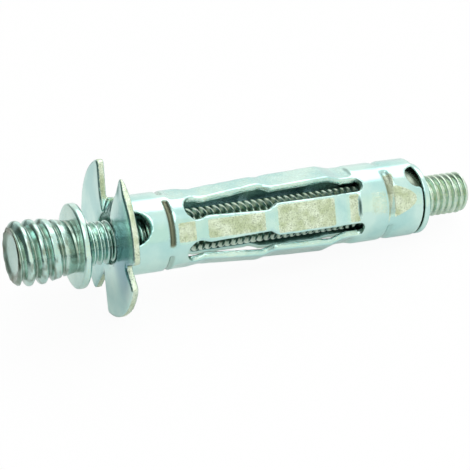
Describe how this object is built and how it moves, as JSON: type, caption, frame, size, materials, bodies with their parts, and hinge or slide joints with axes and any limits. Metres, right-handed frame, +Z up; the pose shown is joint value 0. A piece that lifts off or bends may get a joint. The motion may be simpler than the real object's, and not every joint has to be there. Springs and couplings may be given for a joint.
{
  "type": "hollow-wall expansion anchor with a double-threaded stud",
  "caption": "Slotted sheet-steel expansion sleeve with a petalled flange, a captive nut at the far end, and a double-threaded stud with a collar through it.",
  "frame": {"origin": "on the anchor's axis in the plane of the flange's bearing face, where the drilled hole's mouth is", "axes": "+X along the anchor's axis from the flange towards the nut, +Z up, with one gap between two petals straight down"},
  "size_m": [0.0555, 0.0173, 0.0167],
  "materials": {
    "sleeve_zinc": "bright zinc plating on formed sheet, finely pitted on the flats",
    "nut_zinc": "bright zinc plating",
    "stud_zinc": "bright zinc plating on rolled thread"
  },
  "bodies": {
    "sleeve": {"expansion_sleeve": "sleeve_zinc", "flange_nut": "nut_zinc"},
    "stud": {"double_thread_stud": "stud_zinc"}
  },
  "joints": [
    {"name": "stud_travel", "type": "slide", "parent": "sleeve", "child": "stud", "axis": [1, 0, 0], "range_m": [-0.012, 0.003]}
  ]
}
